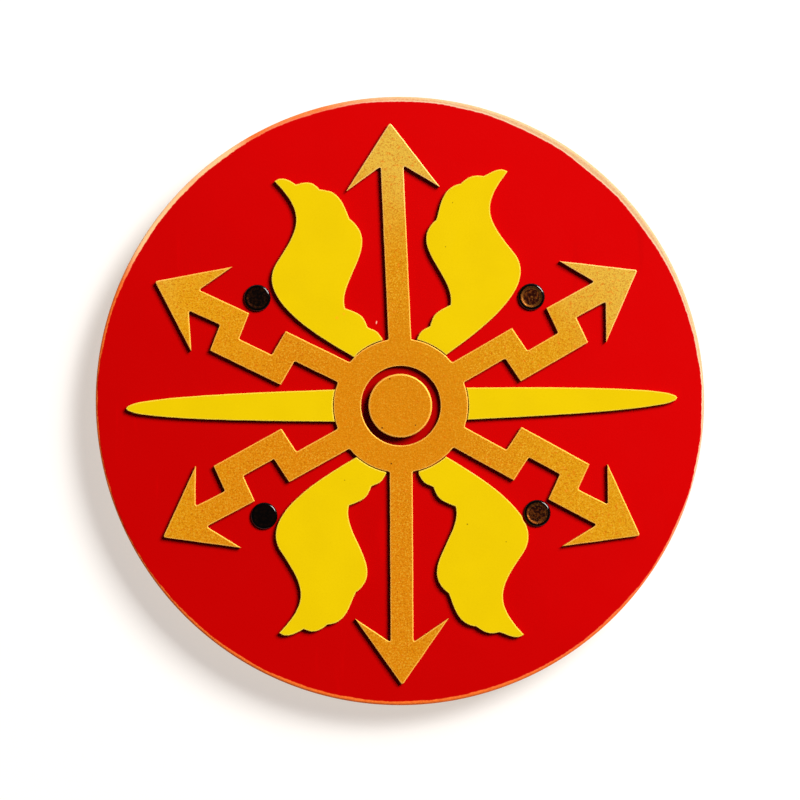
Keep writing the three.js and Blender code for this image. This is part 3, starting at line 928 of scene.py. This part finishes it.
class Finish:
    """A material that is being made, with a short call for each kind of node."""

    def __init__(self, name, metallic=0.0, specular=0.5, coat=0.0, coat_roughness=0.1):
        self.material = bpy.data.materials.new(name)
        self.material.use_nodes = True
        self.tree = self.material.node_tree
        self.shader = self.tree.nodes["Principled BSDF"]
        names = ("Metallic", "Specular IOR Level", "Coat Weight", "Coat Roughness")
        for socket, value in zip(names, (metallic, specular, coat, coat_roughness)):
            self.shader.inputs[socket].default_value = value
        self.place = self.node("ShaderNodeTexCoord").outputs["Object"]
        # This attribute holds worn finish on the bolts and straps, and the painted highlight along the
        # emblem's edges
        wear_and_highlight = self.node("ShaderNodeAttribute")
        wear_and_highlight.attribute_name = "wear_and_highlight"
        self.wear_and_highlight = wear_and_highlight.outputs["Fac"]

    def node(self, kind, **inputs):
        node = self.tree.nodes.new(kind)
        for name, value in inputs.items():
            self.set(node.inputs[name], value)
        return node

    def set(self, socket, value):
        if isinstance(value, bpy.types.NodeSocket):
            self.tree.links.new(value, socket)
        else:
            socket.default_value = value

    def maths(self, operation, first, second=0.0):
        node = self.tree.nodes.new("ShaderNodeMath")
        node.operation = operation
        self.set(node.inputs[0], first)
        self.set(node.inputs[1], second)
        return node.outputs[0]

    def plus(self, first, second):
        return self.maths("ADD", first, second)

    def times(self, first, second):
        return self.maths("MULTIPLY", first, second)

    def vector(self, operation, first, second):
        node = self.tree.nodes.new("ShaderNodeVectorMath")
        node.operation = operation
        self.set(node.inputs[0], first)
        self.set(node.inputs[1], second)
        return node.outputs["Value" if operation in ("DISTANCE", "DOT_PRODUCT") else "Vector"]

    def flat(self):
        """The place of each point, seen from above."""
        return self.vector("MULTIPLY", self.place, (1, 1, 0))

    def towards(self, direction):
        """How far along a direction each point lies, in metres."""
        return self.vector("DOT_PRODUCT", self.place, direction)

    def away_from(self, place):
        """How far each point lies from an upright axis, in metres."""
        return self.vector("DISTANCE", self.flat(), (*place, 0))

    def stretched_distance(self, centre, turn, stretch):
        """The same in units of their own, one along the direction of the turn and one across it."""
        turned = self.node(
            "ShaderNodeMapping",
            Vector=self.flat(),
            Location=(*centre, 0),
            Rotation=(0, 0, turn),
            Scale=(*stretch, 1),
        )
        turned.vector_type = "TEXTURE"
        return self.vector("DISTANCE", turned.outputs[0], (0, 0, 0))

    def wall(self):
        """1 on upright walls, 0 on the flat."""
        up = self.vector("DOT_PRODUCT", self.node("ShaderNodeNewGeometry").outputs["Normal"], UPWARDS)
        return self.share(self.maths("ABSOLUTE", up), *WALL_BLEND)

    def waves(self, count, start, size):
        """So many waves round the upright axis through the middle, with a crest at the start angle."""
        angle = self.maths("ARCTAN2", self.towards((0, 1, 0)), self.towards((1, 0, 0)))
        angle = self.maths("SUBTRACT", angle, start)
        return self.times(self.maths("COSINE", self.times(angle, count)), size)

    def noise(self, size, detail, shift=0.0, stretch=(1, 1, 1), roughness=0.5):
        """Soft noise from about 0 to 1, with features of that size in metres."""
        scale = [1 / (size * factor) for factor in stretch]
        shifts = (shift, shift, shift)
        place = self.node("ShaderNodeMapping", Vector=self.place, Scale=scale, Location=shifts).outputs[0]
        node = self.node("ShaderNodeTexNoise", Vector=place, Scale=1.0, Detail=detail, Roughness=roughness)
        return node.outputs["Fac"]

    def varied(self, pattern, low, high):
        """A noise pattern from about low to about high."""
        return self.between(self.noise(*pattern), low, high)

    def marks(self, pattern, ends, most=1):
        """Noise turned into marks: 0 up to the first end, the most from the second on."""
        return self.times(self.share(self.noise(*pattern), *ends), most)

    def crackle(self, size):
        """0 on the lines between grains of that size, more inside them."""
        node = self.node("ShaderNodeTexVoronoi", Vector=self.place, Scale=1 / size)
        node.feature = "DISTANCE_TO_EDGE"
        return node.outputs["Distance"]

    def share(self, value, low, high):
        """0 up to low, 1 from high on, smooth between them. High may be the smaller."""
        node = self.node("ShaderNodeMapRange", Value=value)
        node.interpolation_type = "SMOOTHSTEP"
        self.set(node.inputs["From Min"], low)
        self.set(node.inputs["From Max"], high)
        return node.outputs[0]

    def between(self, share, low, high):
        """A number from low to high as the share goes from 0 to 1."""
        node = self.node("ShaderNodeMapRange", Value=share)
        node.inputs["To Min"].default_value = low
        node.inputs["To Max"].default_value = high
        return node.outputs[0]

    def blend(self, share, first, second, kind="MIX"):
        """The first colour, turned into the second by the share, or multiplied by it."""
        node = self.tree.nodes.new("ShaderNodeMix")
        node.data_type = "RGBA"
        node.blend_type = kind
        for socket, value in zip(MIX_INPUTS, (share, first, second)):
            self.set(node.inputs[socket], value)
        return node.outputs[MIX_OUTPUT]

    def spots(self, marks):
        """1 inside round marks on the face, each a pixel of the photograph and a radius, and 0 elsewhere."""
        total = 0.0
        for pixel, radius in marks:
            distance = self.away_from(on_face(*pixel))
            spot = self.share(distance, radius * SPOT_FADE[0], radius * SPOT_FADE[1])
            total = self.maths("MAXIMUM", total, spot)
        return total

    def scratch(self, pixel, reach, width):
        """1 along a short straight scratch with that middle pixel, reach either way and width."""
        turn = math.atan2(reach[1], reach[0])
        distance = self.stretched_distance(on_face(*pixel), turn, (math.hypot(*reach), width))
        return self.share(distance, *SCRATCH_FADE)

    def relief(self, height, depth):
        """Fine relief: the height, from 0 to 1, times the depth in metres."""
        return self.node("ShaderNodeBump", Height=height, Strength=1.0, Distance=depth).outputs["Normal"]

    def done(self, colour, roughness, normal=None, metallic=None):
        self.set(self.shader.inputs["Base Color"], colour)
        self.set(self.shader.inputs["Roughness"], roughness)
        if normal is not None:
            self.set(self.shader.inputs["Normal"], normal)
        if metallic is not None:
            self.set(self.shader.inputs["Metallic"], metallic)
        return self.material


def line_distance(finish, line):
    """How far out each point of the board lies, where the wavering paint line lies evenly far out."""
    oval = PAINT_LINE_OVAL / line
    distance = finish.stretched_distance(PAINT_LINE_CENTRE, PAINT_LINE_NARROW_WAY, (1 - oval, 1 + oval))
    waver = finish.varied(WAVER_NOISE, -PAINT_LINE_WAVER, PAINT_LINE_WAVER)
    for count, start, size in PAINT_LINE_WAVES:
        waver = finish.plus(waver, finish.waves(count, start, size))
    fuzz = finish.varied(FUZZ_NOISE, -PAINT_LINE_FUZZ, PAINT_LINE_FUZZ)
    return finish.plus(distance, finish.plus(waver, fuzz))


def red_colour(finish, across):
    """Red paint with painted light, lighter towards the key light, with painted shade deepening it round the
    boss, faint streaks and a scratch.
    """
    boss = middle("centre_boss")
    groove = (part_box("centre_boss")[1].x - boss.x) * GROOVE_SHADE_REACH
    # Painted light: the red is lighter towards the key light on the upper right and deeper away from it
    red = finish.blend(finish.share(across, *RED_KEY_LIT_BLEND), RED_SHADED_SIDE, RED_KEY_LIT_SIDE)
    red = finish.blend(finish.marks(*STREAKS), red, RED_STREAK)
    # Painted shade in the groove round the boss
    groove_shade = finish.share(finish.away_from(boss.xy), groove, groove - GROOVE_SHADE_SOFTNESS)
    red = finish.blend(groove_shade, red, RED_GROOVE_SHADE)
    return finish.blend(finish.scratch(*RED_SCRATCH), red, SCRATCH_PALE)


def rim_colour(finish, across, near_line):
    """Grainy paint round the rim, orange with pink and peach patches, and a pale painted highlight towards
    the key light, creamiest near the paint line.
    """
    grainy = finish.marks(*RIM_GRAIN)
    orange = finish.blend(grainy, RIM_ORANGE, RIM_ORANGE_DEEP)
    pink = finish.times(finish.share(across, *RIM_PINK_BLEND), near_line)
    orange = finish.blend(finish.times(pink, RIM_PINK_MOST), orange, RIM_PINK)
    orange = finish.blend(finish.spots(RIM_PATCHES), orange, RIM_PEACH)
    # Painted highlight: the rim is pale towards the key light, and cream near the paint line
    pale = finish.blend(grainy, RIM_HIGHLIGHT, RIM_HIGHLIGHT_DEEP)
    pale = finish.blend(finish.times(near_line, RIM_HIGHLIGHT_CREAM_MOST), pale, RIM_HIGHLIGHT_CREAM)
    return finish.blend(finish.share(across, *RIM_HIGHLIGHT_BLEND), orange, pale)


def wood_colour(finish):
    """Pale plywood: a broad figure of growth rings, fine grain and short darker flecks."""
    figure = finish.noise(*FIGURE_NOISE)
    rings = finish.maths("FRACT", finish.times(figure, RING_COUNT))
    rings = finish.share(finish.maths("ABSOLUTE", finish.maths("SUBTRACT", rings, 0.5)), *RING_BLEND)
    fibres = finish.noise(*FIBRE_NOISE)
    wood = finish.blend(rings, WOOD_LIGHT, WOOD_RING)
    wood = finish.blend(finish.times(fibres, FIBRE_MOST), wood, WOOD_FIBRE)
    return finish.blend(finish.marks(*WOOD_FLECKS), wood, WOOD_FLECK)


def red_board_finish():
    """Red paint on the face up to a wavering line, gold on the edge, bare wood behind."""
    finish = Finish("red_board", specular=RED_SPECULAR)
    low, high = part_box("shield_board")
    line = (high.x - low.x) / 2 - PAINT_LINE_MARGIN
    distance = line_distance(finish, line)
    red_share = finish.share(distance, line + PAINT_LINE_SOFTNESS, line - PAINT_LINE_SOFTNESS)
    near_line = finish.share(distance, line + NEAR_LINE, line)
    height = finish.maths("SUBTRACT", finish.towards(UPWARDS), low.z)
    height = finish.plus(height, finish.varied(BACK_FUZZ_NOISE, 0, BACK_FUZZ))
    wood_share = finish.share(height, *BACK_BLEND)
    blotches = finish.varied(BLOTCH_NOISE, -BLOTCH_REACH, BLOTCH_REACH)
    # across runs towards the key light: the red and the rim are painted lighter along it, as painted light
    across = finish.plus(finish.towards(TOWARDS_KEY_LIGHT), blotches)
    colour = finish.blend(red_share, rim_colour(finish, across, near_line), red_colour(finish, across))
    colour = finish.blend(wood_share, colour, wood_colour(finish))
    not_red = finish.maths("SUBTRACT", 1.0, finish.maths("MAXIMUM", red_share, wood_share))
    metallic = finish.times(not_red, RIM_METALLIC)
    peel = finish.noise(*PEEL_NOISE)
    grain = finish.noise(*GRAIN_NOISE)
    relief = finish.relief(finish.blend(wood_share, peel, grain), BOARD_RELIEF)
    bare = finish.times(finish.maths("SUBTRACT", 1.0, red_share), BARE_ROUGHNESS)
    roughness = finish.plus(finish.varied(RED_SHEEN_NOISE, *PAINT_ROUGHNESS), bare)
    return finish.done(colour, roughness, relief, metallic)


def gold_finish():
    """Grainy metallic gold paint with a painted sheen, deepest round a point low on the left, paler away
    from it in soft patches and darkened by a fifth towards the key light, and a painted highlight along the
    edges.
    """
    finish = Finish("gold_emblem", specular=GOLD_SPECULAR)
    patches = finish.varied(GOLD_PATCH_NOISE, -GOLD_PATCH_REACH, GOLD_PATCH_REACH)
    beside = finish.plus(finish.stretched_distance(GOLD_DEEPEST, 0, GOLD_DEEP_OVAL), patches)
    sheen_pale_share = finish.share(finish.plus(finish.away_from(GOLD_DEEPEST), patches), *GOLD_SHEEN_PALE_BLEND)
    across = finish.share(finish.towards(TOWARDS_KEY_LIGHT), *GOLD_FAR_BLEND)
    out = finish.share(finish.away_from((0, 0)), *GOLD_OUTER_BLEND)
    # Painted sheen: the gold is deepest round a point low on the left and paler away from it, and darkened
    # by a fifth towards the key light
    gold = finish.blend(finish.share(beside, *GOLD_SHEEN_WARM_BLEND), GOLD_SHEEN_DEEP, GOLD_SHEEN_WARM)
    gold = finish.blend(sheen_pale_share, gold, GOLD_SHEEN_PALE)
    gold = finish.blend(across, gold, GOLD_FAR_SIDE, "MULTIPLY")
    for colour, most, pattern, ends in GOLD_MARKS:
        gold = finish.blend(finish.marks(pattern, ends, finish.between(out, *most)), gold, colour)
    # Painted highlight along the rounded edges, paler towards the key light
    edge = finish.blend(sheen_pale_share, GOLD_EDGE_HIGHLIGHT, GOLD_EDGE_HIGHLIGHT_PALE)
    gold = finish.blend(finish.times(finish.wear_and_highlight, GOLD_EDGE_HIGHLIGHT_MOST), gold, edge)
    gold = finish.blend(finish.wall(), gold, GOLD_WALL)
    gold = finish.blend(finish.spots(GOLD_PITS), gold, PIT_COLOUR)
    roughness = finish.varied(GOLD_SHEEN_NOISE, *GOLD_ROUGHNESS)
    normal = finish.relief(finish.noise(*GOLD_RELIEF_NOISE), GOLD_RELIEF)
    metallic = finish.between(finish.wear_and_highlight, *GOLD_METALLIC)
    return finish.done(gold, roughness, normal, metallic)


def yellow_finish():
    """Satin yellow paint with a painted highlight along its edges, and a few pinholes."""
    finish = Finish("yellow_wings", specular=YELLOW_SPECULAR)
    yellow = finish.blend(finish.marks(*YELLOW_TONE), YELLOW_LIGHT, YELLOW_DEEP)
    for marks, most, colour in (
        # A painted highlight along the rounded edges
        (finish.wear_and_highlight, YELLOW_EDGE_HIGHLIGHT_MOST, YELLOW_EDGE_HIGHLIGHT),
        (finish.wall(), 1, YELLOW_WALL),
        (finish.spots(YELLOW_FLECKS), YELLOW_FLECK_MOST, YELLOW_FLECK),
        (finish.scratch(*YELLOW_SCRATCH), 1, SCRATCH_PALE),
        (finish.spots(YELLOW_PITS), YELLOW_PIT_MOST, PIT_COLOUR),
    ):
        yellow = finish.blend(finish.times(marks, most), yellow, colour)
    roughness = finish.varied(YELLOW_SHEEN_NOISE, *PAINT_ROUGHNESS)
    normal = finish.relief(finish.noise(*YELLOW_RELIEF_NOISE), YELLOW_RELIEF)
    return finish.done(yellow, roughness, normal)


def bronze_finish():
    """Near-black bronze plating, polished outside and rubbed to mottled brass in the dish."""
    finish = Finish("dark_bronze", metallic=1.0, coat=BRONZE_COAT, coat_roughness=BRONZE_COAT_ROUGHNESS)
    mottle = finish.noise(*BRASS_MOTTLE_NOISE)
    rubbed = finish.blend(finish.share(mottle, *BRASS_MOTTLE_BLEND), BRONZE_BROWN, BRONZE_BRASS)
    rubbed = finish.blend(finish.share(finish.wear_and_highlight, *BOLT_SLOPE_WEAR), rubbed, BRONZE_SLOPE)
    rubbed = finish.blend(finish.marks(*BRASS_SPECKS), rubbed, BRONZE_SPECK)
    colour = finish.blend(finish.wear_and_highlight, BRONZE_DARK, rubbed)
    roughness = finish.between(finish.wear_and_highlight, *BRONZE_ROUGHNESS)
    roughness = finish.plus(roughness, finish.between(mottle, *BRONZE_SWAY))
    normal = finish.relief(finish.noise(*BRONZE_RELIEF_NOISE), BRONZE_RELIEF)
    return finish.done(colour, roughness, normal)


def leather_finish():
    """Brown grained leather, darker and smoother at its burnished edges."""
    finish = Finish("strap_leather", specular=LEATHER_SPECULAR)
    tone = finish.noise(*LEATHER_TONE_NOISE)
    leather = finish.blend(finish.share(tone, *SOFT_BLEND), LEATHER_LIGHT, LEATHER_DEEP)
    leather = finish.blend(finish.marks(*PORES), leather, LEATHER_PORE)
    leather = finish.blend(finish.times(finish.wear_and_highlight, BURNISH_MOST), leather, LEATHER_PORE)
    polish = finish.times(finish.wear_and_highlight, BURNISH_POLISH)
    roughness = finish.maths("SUBTRACT", finish.between(tone, *LEATHER_ROUGHNESS), polish)
    grain = finish.share(finish.crackle(LEATHER_GRAIN_SIZE), *LEATHER_GRAIN_BLEND)
    return finish.done(leather, roughness, finish.relief(grain, LEATHER_RELIEF))


def thread_finish():
    """Waxed linen thread, twisted."""
    finish = Finish("waxed_thread", specular=LEATHER_SPECULAR)
    thread = finish.blend(finish.marks(*THREAD_TONE), THREAD_LIGHT, THREAD_DEEP)
    normal = finish.relief(finish.noise(*THREAD_TWIST_NOISE), THREAD_RELIEF)
    return finish.done(thread, THREAD_ROUGHNESS, normal)


def floor_finish():
    """A matt pale studio floor."""
    finish = Finish("pale_floor", specular=0.0)
    tone = finish.noise(*FLOOR_TONE_NOISE)
    finish.shader.inputs["Emission Color"].default_value = FLOOR_GLOW_COLOUR
    finish.shader.inputs["Emission Strength"].default_value = FLOOR_GLOW
    return finish.done(finish.blend(tone, FLOOR_LIGHT, FLOOR_DEEP), FLOOR_ROUGHNESS)


# Putting it together


def place_piece(obj, node, material):
    """Gives the piece its finish, sets it on the body and lets it stand for its node."""
    obj.data.materials.clear()
    obj.data.materials.append(material)
    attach(obj, BODY)
    if node:
        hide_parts(node)


def build_shield():
    gold = gold_finish()
    yellow = yellow_finish()
    bronze = bronze_finish()
    leather = leather_finish()
    thread = thread_finish()
    place_piece(board_piece(), "shield_board", red_board_finish())
    place_piece(sheet_piece("arrow_star"), "arrow_star", gold)
    place_piece(boss_piece(), "centre_boss", gold)
    for node in WINGS + SPIKES:
        place_piece(sheet_piece(node), node, yellow)
    for quarter in QUARTERS:
        place_piece(bolt_piece(quarter), f"bolt_{quarter}", bronze)
        place_piece(nut_piece(quarter), f"nut_{quarter}", bronze)
    for node, bolts in STRAPS.items():
        line = StrapLine(node, *bolts)
        place_piece(strap_piece(node, line), node, leather)
        place_piece(stitches_piece(node, line), None, thread)


def build_floor():
    bm = bmesh.new()
    bmesh.ops.create_grid(bm, x_segments=1, y_segments=1, size=FLOOR_SIZE / 2)
    mesh = bpy.data.meshes.new("floor")
    bm.to_mesh(mesh)
    bm.free()
    mesh.materials.append(floor_finish())
    floor = new_object("floor", mesh)
    floor.location.z = -FLOOR_GAP


def build_camera():
    camera = new_object("camera", bpy.data.cameras.new("camera"))
    rim_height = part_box("shield_board")[1].z - BOARD_FRONT_ROUNDING
    camera.location = (*AIM, rim_height + CAMERA_DISTANCE)
    camera.data.sensor_width = SENSOR_WIDTH
    camera.data.lens = LENS_PER_METRE * CAMERA_DISTANCE
    bpy.context.scene.camera = camera


def build_key_light():
    light = bpy.data.lights.new("key", "AREA")
    light.shape = "SQUARE"
    light.size = KEY_SIZE
    light.energy = KEY_POWER
    light.color = KEY_COLOUR
    key = new_object("key", light)
    level = math.sin(KEY_TILT)
    direction = Vector((level * math.cos(KEY_TURN), level * math.sin(KEY_TURN), math.cos(KEY_TILT)))
    key.location = direction * KEY_DISTANCE
    key.rotation_euler = (-direction).to_track_quat("-Z", "Y").to_euler()


def build_world():
    world = bpy.data.worlds.new("studio")
    bpy.context.scene.world = world
    world.use_nodes = True
    nodes = world.node_tree.nodes
    links = world.node_tree.links
    background = nodes["Background"]
    direction = nodes.new("ShaderNodeTexCoord")
    split = nodes.new("ShaderNodeSeparateXYZ")
    links.new(direction.outputs["Generated"], split.inputs[0])
    ramp = nodes.new("ShaderNodeMapRange")
    ramp.interpolation_type = "SMOOTHSTEP"
    ends = (WALL_TOP, CEILING_START, WALL_BRIGHTNESS, CEILING_BRIGHTNESS)
    for socket, value in zip(("From Min", "From Max", "To Min", "To Max"), ends):
        ramp.inputs[socket].default_value = value
    links.new(split.outputs["Z"], ramp.inputs["Value"])
    links.new(ramp.outputs[0], background.inputs["Strength"])
    background.inputs["Color"].default_value = (1, 1, 1, 1)


build_shield()
build_floor()
build_camera()
build_key_light()
build_world()
bpy.context.scene.view_settings.view_transform = "Standard"
